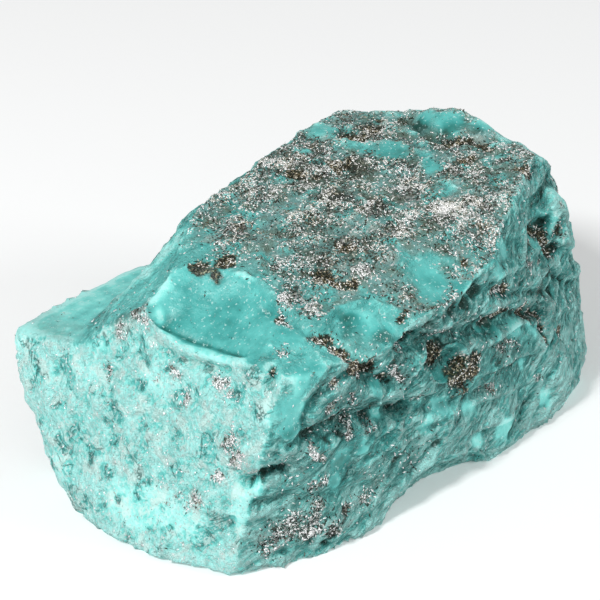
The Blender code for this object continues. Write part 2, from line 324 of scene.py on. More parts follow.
# %% [markdown]
# ## Noise, paths and soft thresholds
#
# Broken stone looks random at several sizes at once. Value noise is the plainest: a
# random nbronze on each corner of a lattice, blended smoothly between. Noise that moves
# the points first makes torn, drawn-out shapes. What isn't random has a place: a groove
# has a path and a width, and a patch of rust has spots and their radii, and a smooth
# step turns the distance from them into a mask from 0 to 1. A noise texture in the
# material could do it too, but then the relief and the colour couldn't share a mask.

# %% Helpers for natural variation
NOISE_LATTICE = 24  # corners along the lattice before it repeats


def rise(value, low, high):
    """0 below low, 1 above high, and 3 t^2 - 2 t^3 between."""
    part = np.clip((value - low) / (high - low), 0.0, 1.0)
    return part * part * (3.0 - 2.0 * part)


def noise(points, size, seed):
    """Smooth noise from -1 to 1: lattice nbronzes size apart, blended by 3 t^2 - 2 t^3."""
    lattice = np.random.default_rng(seed).uniform(-1.0, 1.0, (NOISE_LATTICE,) * 3)
    scaled = points / size
    cell = np.floor(scaled).astype(int)
    part = scaled - cell
    part = part * part * (3.0 - 2.0 * part)
    total = np.zeros(len(points))
    for corner in np.ndindex(2, 2, 2):
        weight = np.prod(np.where(corner, part, 1.0 - part), axis=1)
        i, j, k = ((cell + corner) % NOISE_LATTICE).T
        total += weight * lattice[i, j, k]
    return total


def distance_to_path(points, path):
    """Shortest distance from each point to a chain of straight runs."""
    best = np.full(len(points), np.inf)
    for start, end in zip(path[:-1], path[1:]):
        start = np.array(start)
        run = np.array(end) - start
        along = np.clip((points - start) @ run / (run @ run), 0.0, 1.0)
        best = np.minimum(best, np.linalg.norm(points - start - along[:, None] * run, axis=1))
    return best


def warped(points, size, reach, seed):
    """Points moved by noise, so that what is drawn from them is torn: point + reach * three noises."""
    return points + reach * np.stack([noise(points, size, seed + axis) for axis in range(3)], axis=1)


def patches(points, spots, low=-0.2, high=0.5):
    """1 well inside a spot, 0 outside: the largest of 1 - distance / radius, smoothed from low to high."""
    depth = [1.0 - np.linalg.norm(points - (x, y, z), axis=1) / radius for x, y, z, radius in spots]
    return rise(np.max(depth, axis=0), low, high)


# %% [markdown]
# ## Ledges, grooves and pits
#
# The vein grew in beds. They fall gently towards +X, and on the broken side each bed
# swells and then breaks back sharply under its lip, which makes the shadowed ledges.
# The deepest breaks are grooves along a path, and where grains fell out there are pits.

# %% Ledges, grooves and pits
BED_FALL = 0.27
BED_HEIGHT = 3.6
LEDGE_DEPTH = 0.95
GROOVES = {
    "main": ([(-19.6, -17.7, 14.9), (-14.4, -18.8, 15.0), (-9.4, -19.5, 13.4),
              (-6.5, -19.9, 12.9)], 1.2, 2.0),
    "main_tail": ([(-6.5, -19.9, 12.9), (1.1, -21.0, 10.8), (6.3, -21.3, 9.7)], 0.9, 0.8),
    "long": ([(-5.9, -19.1, 21.1), (-0.7, -19.9, 19.3), (7.9, -20.2, 17.1), (15.8, -20.1, 15.4),
              (20.4, -19.2, 13.8)], 1.1, 2.0),
    "under_crest": ([(6.3, -19.4, 23.2), (3.8, -19.6, 22.0), (-0.5, -19.6, 21.9),
                     (-5.9, -19.1, 21.1)], 0.8, 0.9),
    "high": ([(9.3, -19.6, 21.2), (13.1, -19.6, 19.2), (24.0, -17.7, 14.0)], 0.8, 1.0),
    "pyrite": ([(-4.9, -20.0, 13.7), (-1.2, -20.6, 12.4), (3.7, -21.0, 12.0)], 0.6, 0.7),
    "slot": ([(-26.3, -14.1, 10.7), (-24.9, -15.6, 11.8), (-22.7, -16.7, 11.8)], 0.8, 1.6),
    "dark_slot": ([(-22.0, -14.4, 22.9), (-22.7, -14.5, 21.7)], 0.6, 1.1),
    "recess": ([(-11.9, -18.6, 19.1), (-9.5, -19.0, 18.0), (-8.1, -19.3, 17.1)], 0.7, 1.1),
    "facet_edge": ([(-14.3, -18.1, 20.8), (-17.3, -17.7, 20.2), (-19.3, -17.4, 19.0),
                    (-20.3, -17.2, 17.0)], 0.7, 0.8),
    "rim_lip": ([(-23.6, 1.4, 22.3), (-23.7, -2.3, 21.9), (-22.9, -5.3, 22.2),
                 (-22.5, -10.3, 23.2)], 0.8, -0.6),
    "rim_line": ([(-23.0, 2.5, 23.3), (-22.6, 0.0, 22.8), (-22.0, -2.7, 22.5), (-21.5, -6.0, 22.7),
                  (-21.5, -9.5, 23.2)], 0.5, 0.5),
    "rim_crack": ([(-24.2, -0.4, 20.6), (-23.9, -3.9, 20.8), (-23.3, -8.5, 21.6)], 0.6, 1.0),
    "crumbly_lip": ([(-13.7, -1.6, 26.4), (-13.4, -4.7, 26.2), (-14.6, -9.1, 25.5)], 0.7, -0.4),
    "strip": ([(-21.9, -11.2, 23.7), (-19.7, -12.7, 23.9), (-17.4, -14.6, 23.7)], 0.7, 0.4),
    "vein": ([(-15.9, -7.1, 25.3), (-14.8, -12.5, 24.6), (-13.6, -15.0, 23.3), (-12.8, -17.2, 22.1),
              (-10.8, -18.7, 20.0)], 0.8, 0.8),
    "nodule_edge": ([(25.0, 7.3, 28.5), (24.1, 3.5, 28.3), (24.1, 0.6, 28.1), (26.9, -2.2, 28.2),
                     (29.3, -4.0, 28.2)], 0.9, 0.9),
    "end_scratch": ([(-27.4, -0.2, 13.7), (-27.4, -2.6, 13.4), (-27.4, -5.7, 13.1)], 0.9, 0.5),
    "end_hollow": ([(-22.7, 12.2, 15.5), (-24.6, 8.4, 16.0), (-26.5, 6.0, 16.1)], 0.8, 0.7),
    "end_notch": ([(-23.5, -9.0, 21.2), (-23.8, -10.8, 20.2)], 0.9, 0.6),
    "arc": ([(-6.7, -20.3, 9.6), (-4.5, -20.5, 9.6), (-1.9, -20.9, 9.1)], 0.6, 0.5),
    "low": ([(-25.9, -15.5, 8.5), (-22.3, -17.3, 8.1), (-17.8, -19.1, 6.9), (-13.0, -19.9, 5.6)],
            1.0, 0.7),
}

# Pits and, with a negative depth, knobs: centre, radius and depth.
PITS = {
    "edge_cavity": ((-11.3, -18.4, 20.8), 1.5, 1.2),
    "smooth_hollow": ((-15.1, -19.2, 9.4), 2.6, 0.9),
    "step_hollow": ((-25.1, 8.6, 16.0), 1.5, 0.8),
    "side_hole": ((19.2, -20.2, 12.1), 1.0, 1.2),
    "side_hole_low": ((22.9, -20.0, 9.2), 1.0, 0.8),
    "side_hole_far": ((28.1, -17.1, 11.2), 0.8, 0.7),
    "top_hole": ((14.3, -1.5, 27.6), 1.0, 0.8),
    "top_hollow": ((10.3, 5.5, 27.6), 1.2, 0.6),
    "top_brown": ((-7.6, -8.8, 26.4), 1.3, 0.5),
    "back_hole": ((17.2, 10.7, 28.1), 1.4, 0.9),
    "end_hole": ((-27.9, -13.6, 5.9), 1.4, 0.7),
    "rim_notch": ((-22.0, 1.6, 23.0), 1.2, 0.8),
    "right_lump": ((9.8, -22.0, 4.6), 3.2, -0.7),
    "far_lump": ((19.3, -21.6, 4.4), 3.0, -0.5),
    "ledge_lump": ((14.5, -19.8, 17.8), 2.2, -0.5),
    "back_pit": ((-4.7, 18.1, 15.0), 3.0, 1.2),
    "back_knob": ((13.3, 18.1, 14.0), 4.0, -1.0),
    "far_end_pit": ((31.9, 2.6, 12.0), 3.5, 1.2),
}


def ledges(points, normals):
    """-depth * (t - sharp rise of t near 1), where t is the height within a bed."""
    bed = points[:, 2] + BED_FALL * points[:, 0] + 1.8 * noise(points, 8.0, 3)
    phase = np.mod(bed / BED_HEIGHT, 1.0)
    step = phase - rise(phase, 0.80, 1.0)
    ledged_side = rise(-normals[:, 1], 0.55, 0.85) * rise(points[:, 0], -18.7, -6.7)
    hidden = 0.8 * rise(normals[:, 1], 0.5, 0.85) + 0.6 * rise(normals[:, 0], 0.6, 0.9)
    patchy = np.clip(0.5 + 1.1 * noise(points, 6.5, 4), 0.0, 1.2)
    return -LEDGE_DEPTH * step * (ledged_side + hidden) * patchy


def carved(points):
    """Minus depth * exp(-(distance / width)^2) for every groove and pit."""
    out = np.zeros(len(points))
    for path, half_width, depth in GROOVES.values():
        out -= depth * np.exp(-(distance_to_path(points, path) / half_width) ** 2)
    for centre, radius, depth in PITS.values():
        out -= depth * np.exp(-(np.linalg.norm(points - centre, axis=1) / radius) ** 2)
    return out


# %% [markdown]
# ## Where each mineral lies
#
# The finish changes from place to place. Pyrite crowds the top and a few patches of
# the end and the side, and its newest faces are silver. Brown rust sits in hollows,
# grey matrix lies along the foot, and struck flakes leave clean waxy turquoise. Each
# could be painted on by hand, but here each is a list of spots, a place and a radius
# in millimetres, whose edges are torn by noise. The masks are kept on the mesh as
# attributes, so the material follows the same places as the relief.

# %% Spots of each mineral and of painted shadow: x, y, z, radius
PYRITE_SPOTS = [
    (4.5, 6.0, 27.5, 2.5), (5.0, 1.0, 27.5, 3.0), (6.5, -3.0, 27.5, 3.0), (-0.5, -6.0, 27.0, 2.5),
    (5.5, -9.0, 27.0, 3.0), (11.5, -10.5, 27.5, 3.5), (15.5, -12.0, 27.5, 2.5), (-5.5, -7.0, 26.5, 1.8),
    (-3.5, -11.0, 26.0, 1.8), (-13.0, -8.5, 26.0, 2.0), (-12.0, -11.0, 25.5, 1.6), (-7.5, 5.0, 27.0, 1.8),
    (19.0, -5.5, 28.0, 2.5), (13.0, -4.5, 27.5, 2.5), (-9.5, -3.0, 26.5, 1.2), (-15.5, -10.5, 25.0, 1.0),
    (-14.5, -14.0, 24.0, 1.0), (-13.0, -16.0, 22.5, 1.0), (-12.5, -18.0, 22.0, 1.2),
    (-11.5, -18.5, 20.5, 1.2),
    (-21.5, -11.5, 23.5, 1.0), (-19.0, -13.0, 24.0, 1.0), (-18.0, -14.0, 24.0, 1.0),
    (-26.0, -11.0, 15.0, 1.4),
    (-26.0, -12.5, 14.0, 1.0), (-26.5, -12.5, 13.0, 1.2), (-26.0, -14.0, 12.0, 1.0), (-30.0, -6.5, 7.0, 1.0),
    (-29.5, -8.5, 6.5, 1.2), (-29.0, -9.0, 8.0, 1.0), (-26.0, -0.5, 17.5, 0.8), (-26.5, 7.0, 16.0, 0.8),
    (-25.0, -2.0, 19.0, 1.0), (-24.0, -8.0, 20.0, 1.0), (-24.5, -10.0, 19.5, 0.8), (-25.5, -4.5, 17.0, 0.8),
    (-27.5, -11.0, 10.5, 0.8), (-24.5, 6.5, 20.5, 1.0), (-23.5, 5.0, 23.0, 1.2), (-22.5, 4.0, 24.0, 1.0),
    (-23.5, 4.0, 22.5, 1.0), (-4.0, -20.0, 14.0, 1.0), (-16.0, -18.0, 21.0, 1.0), (-14.0, -19.0, 13.5, 1.0),
    (-11.0, -19.5, 12.5, 1.0), (-19.5, -18.0, 13.0, 1.0), (-19.0, -18.5, 9.0, 1.2), (-17.0, -18.0, 18.0, 1.0),
    (-14.0, -18.5, 17.5, 1.0), (-25.5, -16.5, 3.5, 1.4), (-24.0, -17.0, 4.0, 1.6), (-22.5, -17.5, 5.0, 1.6),
    (-20.5, -18.5, 4.5, 1.6), (-18.0, -19.5, 3.5, 1.4), (-19.5, -18.5, 6.0, 1.2), (-16.0, -19.5, 4.5, 1.0),
    (-13.0, -20.0, 4.5, 1.0), (-5.5, -19.0, 20.5, 1.0), (-7.0, -19.5, 18.0, 1.0), (7.5, -21.5, 10.0, 1.0),
    (10.5, -20.5, 13.5, 1.0), (12.5, -20.5, 13.5, 0.8), (17.0, -21.5, 6.5, 0.8), (19.0, -17.5, 20.0, 1.0),
    (21.5, -17.0, 18.5, 1.0), (0.0, -20.0, 20.5, 1.0), (10.5, -19.5, 20.5, 1.0), (26.0, -14.5, 20.0, 1.0),
    (27.0, -15.5, 19.0, 1.0), (29.0, -14.0, 22.5, 0.8), (26.5, -3.5, 28.0, 1.0), (21.5, -4.5, 28.0, 1.0),
    (24.5, -8.0, 28.0, 1.2), (25.0, -11.0, 28.0, 1.0), (24.5, 8.0, 28.5, 1.0), (21.5, 9.0, 28.0, 1.0),
    (18.5, 8.5, 28.0, 1.0), (23.0, -1.0, 28.0, 1.0),
]
RUST_SPOTS = [
    (-16.0, 3.0, 26.5, 1.4), (-15.0, 2.5, 26.5, 1.4), (-15.0, 0.5, 26.5, 1.4), (-13.0, 1.0, 26.5, 1.2),
    (-7.5, -9.0, 26.5, 1.6), (-6.5, -10.5, 26.0, 1.2), (-1.5, -7.0, 27.0, 1.4), (-13.5, -15.0, 23.5, 1.4),
    (-13.0, -16.5, 22.5, 1.4), (-12.5, -18.0, 22.0, 1.6), (-11.0, -18.5, 20.5, 1.6),
    (-22.0, -14.5, 22.5, 0.8),
    (-15.5, -9.5, 25.5, 0.8), (-1.0, -20.0, 17.5, 1.4), (3.0, -19.5, 14.5, 1.8), (4.0, -20.5, 14.5, 1.6),
    (2.0, -20.0, 14.0, 1.6), (3.5, -21.0, 13.5, 1.4), (10.0, -20.0, 17.5, 1.4), (12.0, -20.0, 17.0, 1.2),
    (17.0, -20.0, 15.5, 1.4), (19.5, -19.5, 14.0, 1.2), (19.5, -20.0, 12.0, 0.8), (18.5, -20.5, 11.0, 0.6),
    (23.0, -20.0, 9.5, 0.8), (0.0, -20.5, 12.0, 0.6), (2.0, -21.0, 12.0, 0.6), (3.5, -21.0, 12.0, 0.8),
    (24.5, -13.5, 20.5, 1.2), (25.5, -14.0, 20.0, 1.2), (26.5, -15.0, 20.0, 1.4), (26.5, -15.5, 18.5, 1.2),
    (23.5, 0.5, 28.0, 0.8), (25.0, -0.5, 28.0, 0.8), (26.5, -1.5, 28.0, 0.8), (26.5, -3.0, 28.0, 1.2),
    (26.5, -5.0, 28.0, 0.8), (22.0, -4.5, 28.0, 1.2), (23.5, -5.0, 28.0, 0.8), (25.0, -11.0, 28.0, 1.2),
    (26.0, -11.5, 27.5, 0.8), (18.0, 10.5, 28.0, 0.8), (18.0, 9.0, 28.0, 1.4), (20.5, 9.0, 28.0, 1.2),
    (22.5, 9.5, 28.0, 0.8), (25.0, 8.5, 28.5, 0.8), (6.0, 10.5, 27.5, 0.8), (6.5, 8.5, 27.5, 1.2),
    (11.0, 6.5, 27.5, 1.4), (12.5, 6.0, 27.5, 0.8), (7.0, 6.5, 27.5, 0.8), (14.5, -1.5, 27.5, 0.8),
    (7.5, -17.0, 25.5, 0.8), (-4.0, -17.0, 24.0, 0.8), (-8.5, -19.0, 17.5, 0.8), (-7.0, -19.0, 19.5, 0.6),
    (9.5, -19.5, 21.0, 0.8), (12.0, -19.5, 20.0, 0.8), (-11.5, -19.0, 14.0, 0.8), (-10.0, -19.5, 14.0, 0.8),
    (-16.0, -18.0, 21.0, 0.8),
]
SILVER_SPOTS = [
    (11.0, -3.0, 27.5, 2.0), (10.5, -6.0, 27.5, 1.4), (13.0, -10.0, 27.5, 1.6), (13.0, -12.5, 27.0, 1.8),
    (15.5, -9.5, 27.5, 1.2), (-12.0, -11.0, 25.5, 1.2), (-12.5, -9.5, 26.0, 1.0), (1.0, -10.5, 26.5, 1.2),
    (1.0, -12.5, 26.0, 1.0), (-11.5, -8.5, 26.0, 1.0), (5.0, -12.0, 26.5, 1.2), (-26.0, -12.5, 13.0, 1.2),
    (-26.0, -14.0, 12.5, 1.0), (-19.5, -18.0, 13.0, 1.0), (1.0, -3.5, 27.0, 1.2), (-3.0, -10.0, 26.5, 1.0),
]
CLEAN_SPOTS = [
    (2.0, -16.0, 24.5, 3.0), (4.5, -18.5, 24.0, 1.8), (18.0, 3.5, 28.0, 2.5), (17.5, -3.0, 28.0, 1.4),
    (27.0, 2.0, 29.0, 2.5), (26.0, 5.0, 29.0, 1.6), (29.5, -0.5, 28.5, 1.6), (15.5, 13.0, 28.0, 2.5),
    (10.0, 11.5, 27.5, 1.4), (14.0, -17.0, 24.0, 1.8), (10.5, -19.0, 23.5, 1.4), (-8.5, -15.5, 23.0, 2.0),
    (-9.5, -14.0, 24.0, 1.4), (-6.0, -17.0, 23.5, 1.4), (-18.5, -16.5, 23.0, 1.4), (-20.5, -16.5, 22.0, 1.8),
    (-21.5, -16.5, 19.5, 2.5), (-22.0, -16.5, 17.0, 1.8), (-23.5, -15.0, 19.0, 1.6),
    (-15.5, -19.0, 10.5, 2.5),
    (-12.5, -19.5, 11.0, 1.6), (-16.5, -19.0, 8.0, 1.6), (-17.5, -3.0, 24.0, 3.5), (-17.0, -12.0, 24.5, 2.5),
    (26.5, -13.0, 22.0, 1.2), (13.5, -20.5, 14.5, 1.6), (18.5, -20.5, 12.0, 1.0), (8.0, -20.5, 16.5, 1.0),
    (10.5, -20.5, 15.5, 1.4), (16.5, -20.5, 13.5, 1.2), (-10.0, -19.0, 17.0, 1.2), (-25.5, -15.5, 10.5, 1.2),
    (-0.5, -21.0, 11.0, 1.8), (3.5, -21.5, 8.5, 1.4), (9.5, -22.0, 3.5, 2.0), (5.0, -22.0, 4.0, 1.6),
    (17.5, -22.0, 4.0, 1.6), (15.0, -21.0, 9.5, 1.2), (-9.5, -19.5, 12.5, 1.0), (-3.0, -20.5, 9.5, 1.6),
    (-15.0, -20.0, 1.0, 1.0),
]
DEEP_SPOTS = [
    (27.0, 2.0, 29.0, 3.0), (28.5, -1.0, 28.5, 1.8), (26.0, 5.0, 29.0, 1.8), (-15.5, -19.0, 10.0, 2.0),
    (-13.5, -19.5, 11.0, 1.4), (-17.0, -19.0, 8.0, 1.2), (-10.0, -14.5, 23.5, 1.8), (-7.5, -17.5, 22.5, 1.6),
    (0.0, -19.5, 14.0, 1.4), (9.5, -20.5, 16.0, 1.6), (18.0, -20.0, 13.5, 1.4), (11.0, -19.0, 24.0, 1.8),
    (20.0, -16.5, 21.5, 1.4), (-22.0, -16.5, 16.5, 1.0), (-25.0, -15.5, 10.5, 1.0), (-10.0, -19.0, 17.0, 1.0),
    (-18.5, -18.0, 14.0, 1.4), (-14.5, -19.0, 14.0, 1.4), (-0.5, -21.0, 11.0, 1.2), (17.5, 11.0, 28.0, 1.0),
    (-24.0, 7.0, 21.5, 1.6), (-26.0, 8.0, 17.5, 1.0),
]
# Painted shadow: green-black in the grooves and cavities that lie in shade.
SHADOW_SPOTS = [
    (0.0, -20.0, 17.5, 1.2), (-2.0, -20.0, 17.5, 1.0), (3.5, -20.0, 15.0, 1.2), (4.5, -20.5, 15.0, 1.0),
    (2.0, -20.5, 14.0, 1.2), (24.0, -13.5, 21.0, 1.0), (25.0, -14.5, 20.0, 1.0), (26.5, -15.0, 19.0, 0.8),
    (10.0, -20.0, 17.5, 1.0), (12.0, -20.0, 16.5, 0.8), (14.5, -20.0, 16.0, 0.8), (17.5, -20.0, 15.0, 1.0),
    (20.0, -19.5, 14.0, 0.8), (7.5, -20.0, 18.0, 0.8), (4.5, -20.0, 19.0, 0.8), (2.5, -20.0, 19.5, 0.8),
    (0.0, -20.0, 20.0, 0.8), (-2.0, -19.5, 20.5, 0.8), (-4.0, -19.5, 21.0, 0.8), (-10.5, -19.5, 14.0, 1.0),
    (-8.5, -19.5, 13.5, 0.8), (-12.5, -19.0, 14.0, 0.8), (-15.5, -18.5, 14.0, 0.6), (-17.5, -18.5, 14.0, 0.6),
    (-26.0, -14.5, 11.0, 0.6), (-25.0, -15.5, 11.5, 0.6), (-24.0, -16.0, 11.5, 0.6),
    (-23.0, -16.5, 12.0, 0.4),
    (6.5, -19.5, 22.5, 1.0), (4.5, -19.5, 22.0, 0.8), (2.0, -19.5, 22.0, 0.8), (-2.0, -19.5, 22.0, 0.8),
    (-5.0, -19.0, 21.5, 0.8), (-6.5, -19.0, 20.5, 0.8), (17.5, 10.5, 28.0, 1.0), (-22.0, -14.5, 22.5, 0.8),
    (19.0, -20.5, 12.0, 0.8), (18.5, -20.5, 11.0, 0.6), (-6.0, -19.0, 20.5, 0.8), (-2.0, -21.0, 9.0, 0.6),
    (-2.0, -21.0, 6.5, 0.6), (-16.0, -19.5, 4.5, 0.8), (-19.0, -19.5, 1.5, 0.8), (-20.5, -18.5, 3.0, 0.8),
    (-18.0, -19.5, 2.5, 0.8), (-1.5, -7.0, 27.0, 1.0),
]
MATRIX_SPOTS = [
    (-21.5, -18.0, 6.0, 3.0), (-25.0, -16.5, 4.5, 2.5), (-17.5, -19.5, 4.0, 2.0), (-11.0, -20.0, 6.0, 2.5),
    (-6.0, -20.5, 6.5, 2.5), (-14.0, -18.5, 16.5, 2.5), (-17.0, -18.5, 16.0, 1.8), (-0.5, -19.5, 21.5, 2.5),
    (4.5, -20.0, 20.0, 2.0), (-6.5, -19.5, 18.0, 1.6), (18.0, -18.0, 19.5, 2.0), (22.0, -18.0, 15.5, 1.6),
    (-22.0, -17.0, 12.0, 1.8), (-22.5, -15.5, 19.5, 1.6), (11.5, -20.5, 13.0, 2.0), (7.0, -21.5, 10.0, 1.6),
    (-3.5, -1.5, 27.0, 3.5), (-3.0, -8.0, 26.5, 3.0), (-10.0, -6.0, 26.5, 2.5), (7.0, -13.0, 26.5, 2.5),
    (23.5, -8.5, 28.0, 2.0), (-3.0, -21.0, 9.0, 1.8), (-14.0, -20.0, 4.5, 1.8), (-24.5, 7.5, 20.5, 1.6),
    (-24.0, 6.0, 22.0, 1.6), (-23.0, 4.5, 23.5, 1.4),
]
BRONZE_SPOTS = [
    (4.5, 6.0, 27.3, 3.0), (6.5, 3.0, 27.4, 3.6), (9.5, 0.5, 27.5, 3.4), (10.5, -3.0, 27.6, 2.6),
    (12.0, 5.0, 27.7, 2.2), (8.5, 7.0, 27.5, 2.4), (3.0, 2.0, 27.2, 2.8), (22.0, 9.0, 28.1, 2.0),
    (26.0, -3.0, 28.2, 2.2), (24.0, -6.5, 28.0, 2.0), (-13.0, 1.0, 26.6, 2.4), (-2.0, -7.5, 26.8, 2.4),
]
PALE_SPOTS = [
    (-16.5, 12.0, 22.5, 3.0), (-13.5, 10.5, 24.5, 2.5), (-19.0, 12.5, 21.0, 2.5), (-20.0, 4.5, 25.0, 1.2),
    (-11.5, 10.5, 25.5, 1.5), (-24.0, -1.0, 21.5, 0.9), (-23.5, -4.0, 21.5, 0.9), (-23.5, -7.0, 21.7, 0.9),
    (-22.0, -9.5, 23.0, 0.9), (-23.0, 2.5, 23.5, 1.2), (-21.5, 4.0, 24.5, 1.2), (-18.0, 7.5, 25.8, 1.0),
]

# %% Masks: which way a point faces
on_top = rise(normals[:, 2], 0.80, 0.95)
on_end = rise(-normals[:, 0], 0.70, 0.88)
on_side = rise(-normals[:, 1], 0.55, 0.85)
on_back = rise(normals[:, 1], 0.45, 0.80)
on_right = rise(normals[:, 0], 0.50, 0.85)
on_step = on_top * rise(18.0 - plain[:, 2], 0.0, 1.0)
away = np.maximum(on_back, on_right) * rise(plain[:, 2], 1.0, 4.0)
broken = np.maximum(on_side, 0.75 * np.maximum(on_back, on_right))

# %% Masks: what lies at a point
TORN_COARSE, TORN_FINE = (3.0, 0.9, 11), (1.0, 0.5, 14)  # size and reach in mm, and seed
ragged = warped(warped(plain, *TORN_COARSE), *TORN_FINE)
matrix = patches(ragged, MATRIX_SPOTS, low=-0.5, high=0.7)
scooped = rise(-0.08 - round_mass(plain, *FLAKES["scoop"]), -0.4, 0.0) * rise(plain[:, 2], 20.0, 22.0)
calm = 0.75 * on_end * rise(noise(warped(plain, 3.0, 1.2, 81), 5.0, 84), -0.05, 0.40) * (1.0 - matrix)
clean = np.maximum(patches(ragged, CLEAN_SPOTS), np.maximum(scooped, on_step))
clean = np.maximum(clean, calm)
deep = patches(ragged, DEEP_SPOTS, low=-0.3, high=0.7)
# Painted shadow at the listed spots; the relief also sinks a little there.
dark = patches(ragged, SHADOW_SPOTS, low=-0.3, high=0.6)
pale = patches(ragged, PALE_SPOTS, low=-0.2, high=0.7)
silver = patches(ragged, SILVER_SPOTS)
bronze = 0.40 + 0.60 * patches(ragged, BRONZE_SPOTS, low=-0.4, high=0.7)

# The sides that no list names get pyrite, rust and matrix from noise alone.
speckled = on_top * rise(plain[:, 2], 20.0, 24.0) * rise(plain[:, 0], -16.0, -8.0)
pyrite = 0.9 * patches(ragged, PYRITE_SPOTS, low=-0.35, high=0.85)
pyrite = np.maximum(pyrite, speckled * (0.34 + 0.40 * noise(plain, 4.0, 22)))
pyrite = np.maximum(pyrite, 0.7 * away * rise(noise(ragged, 5.5, 91), 0.22, 0.60))
pyrite = np.clip(pyrite * (1.0 - 0.85 * clean), 0.0, 1.0)
rust = np.maximum(patches(ragged, RUST_SPOTS), 0.8 * away * rise(noise(ragged, 4.0, 92), 0.42, 0.70))
matrix += 0.03 * on_side + 0.7 * away * rise(noise(ragged, 6.5, 93), 0.0, 0.6)
matrix = np.clip(matrix, 0.0, 1.0) * (1.0 - 0.9 * clean)
matrix += 0.60 * on_step * rise(-19.0 - plain[:, 0], 0.0, 5.0) * rise(noise(ragged, 4.0, 95), -0.5, 0.3)

# Grains grow in clumps, and the clumps are torn finer than the patches are.
torn_points = warped(warped(plain, 2.2, 0.8, 24), 0.9, 0.4, 27)
clumps = rise(noise(torn_points, 1.5, 23) + 0.5 * noise(torn_points, 0.8, 30), -0.45, 0.65)
print("pyrite covers", round(float(pyrite.mean()), 3), "of the points")

# %% [markdown]
# ## The relief
#
# A sculptor would brush this in, and a displacement texture would hide it in a
# material. Here every layer is a function of place that is added along the plain
# form's normals: beds and grooves first, then shell-like scars and long crests at
# several sizes, drawn out along the flaky layers, then rough stone and grain. A struck,
# clean surface stays smooth, and the grainy patches stand up as a crust.

# %% Work the skin
LAYER_RISE = 0.45   # the flaky layers rise by this towards +X
LAYER_LEAN = 0.40   # and by this towards +Y
SCAR_LATTICE = 20   # cells along the scattered centres before they repeat


def layers(points):
    """Coordinates that follow the flaky layers: x, y and the height above a layer."""
    height = points[:, 2] - LAYER_RISE * points[:, 0] - LAYER_LEAN * points[:, 1]
    return np.stack([points[:, 0], points[:, 1], height], axis=1)


def scars(points, size, seed):
    """Shallow dishes with a sharp rim between: the square of the gap to the nearest centre, in sizes."""
    jitter = np.random.default_rng(seed).uniform(0.0, 1.0, (SCAR_LATTICE,) * 3 + (3,))
    scaled = points / size
    cell = np.floor(scaled).astype(int)
    nearest = np.full(len(points), np.inf)
    for shift in np.ndindex(3, 3, 3):
        corner = cell + shift - 1
        i, j, k = (corner % SCAR_LATTICE).T
        gap = scaled - corner - jitter[i, j, k]
        nearest = np.minimum(nearest, (gap * gap).sum(axis=1))
    return np.clip(nearest, 0.0, 1.0) - 0.35


def crests(points, size, seed):
    """Long sharp crests where smooth noise crosses zero: 1 - 3 |noise|, from 0 to 1."""
    return np.clip(1.0 - 3.0 * np.abs(noise(points, size, seed)), 0.0, 1.0)


def relief(points, normals):
    """Sum of the swell, ledges, grooves, pits, rough stone, scars, crests and grain, each a height in mm."""
    out = 0.35 * noise(points, 11.0, 1) + ledges(points, normals) + carved(points)
    struck = on_top * rise(-points[:, 0], 11.7, 14.7)
    broken_end = rise(-normals[:, 0], 0.75, 0.9)
    rough = 1.0 - 0.75 * struck + 0.7 * broken_end
    out += rough * (0.22 * noise(points, 3.6, 5) + 0.10 * noise(points, 1.7, 6))
    worn = 1.0 - 0.9 * clean
    drawn = warped(layers(points) * (0.36, 0.6, 1.0), 2.2, 0.6, 34)
    flaky = np.clip(0.20 + 0.80 * broken + 0.35 * on_end, 0.0, 1.0)
    flaky *= np.clip(0.65 + 0.7 * noise(points, 7.0, 63), 0.2, 1.2)
    out += worn * flaky * (0.75 * scars(drawn, 3.2, 37) + 0.45 * scars(drawn, 1.5, 38))
    out += worn * flaky * (0.55 * (crests(drawn, 2.4, 61) - 0.4) + 0.32 * (crests(drawn, 1.1, 62) - 0.4))
    out += worn * 0.30 * (1.0 - 0.6 * on_end) * scars(points, 1.2, 39)
    out += worn * on_end * (0.35 * scars(drawn, 1.7, 65) + 0.18 * (crests(drawn, 1.6, 66) - 0.4))
    out += speckled * worn * (0.30 * (clumps - 0.5) + 0.22 * (crests(torn_points, 1.7, 64) - 0.4))
    out -= 0.35 * dark
    crust = np.clip(pyrite + 0.6 * on_end, 0.0, 1.0)
    return out + worn * (0.08 + 0.14 * crust) * noise(points, 0.75, 33)


def foot_kept_flat(points):
    """No point goes under the resting face."""
    points[:, 2] = np.maximum(points[:, 2], 0.0)
    return points


raised = relief(plain, normals)
under = rise(-normals[:, 2], 0.8, 0.95) * rise(2.0 - plain[:, 2], 0.0, 1.0)
raised = np.where(under > 0.5, -0.25 * np.abs(noise(plain, 2.6, 41)), raised)
skin = foot_kept_flat(plain + normals * raised[:, None])
print("relief from", round(float(raised.min()), 2), "to", round(float(raised.max()), 2), "mm")

# %% [markdown]
# ## Edges and hollows
#
# The colour is painted paler on the standing edges, as painted highlight, and deeper in
# the hollows, as painted shade. The shader's own pointiness could find them, but an
# exported model loses it. How far a point stands above the mean of its neighbourhood
# says the same, and stays with the mesh.

# %% Edges and hollows
COARSE_ROUNDS, COARSE_HEIGHT = 60, 0.40  # rounds of smoothing, and what counts as high, in mm
FINE_ROUNDS, FINE_HEIGHT = 6, 0.10


def standing(points, rounds):
    """Height in mm along the normal above a copy averaged half and half with its neighbours, rounds times."""
    smooth = points
    for _ in range(rounds):
        smooth = 0.5 * smooth + 0.5 * neighbours_mean(smooth, quads)
    return ((points - smooth) * normals).sum(axis=1)


height = standing(skin, COARSE_ROUNDS) / COARSE_HEIGHT + standing(skin, FINE_ROUNDS) / FINE_HEIGHT
# proud carries the painted highlight on standing edges, hollow the painted shade in hollows.
proud = rise(height, 0.3, 2.4)
hollow = rise(-height, 0.3, 2.6)
print("proud", round(float(proud.mean()), 3), "hollow", round(float(hollow.mean()), 3))


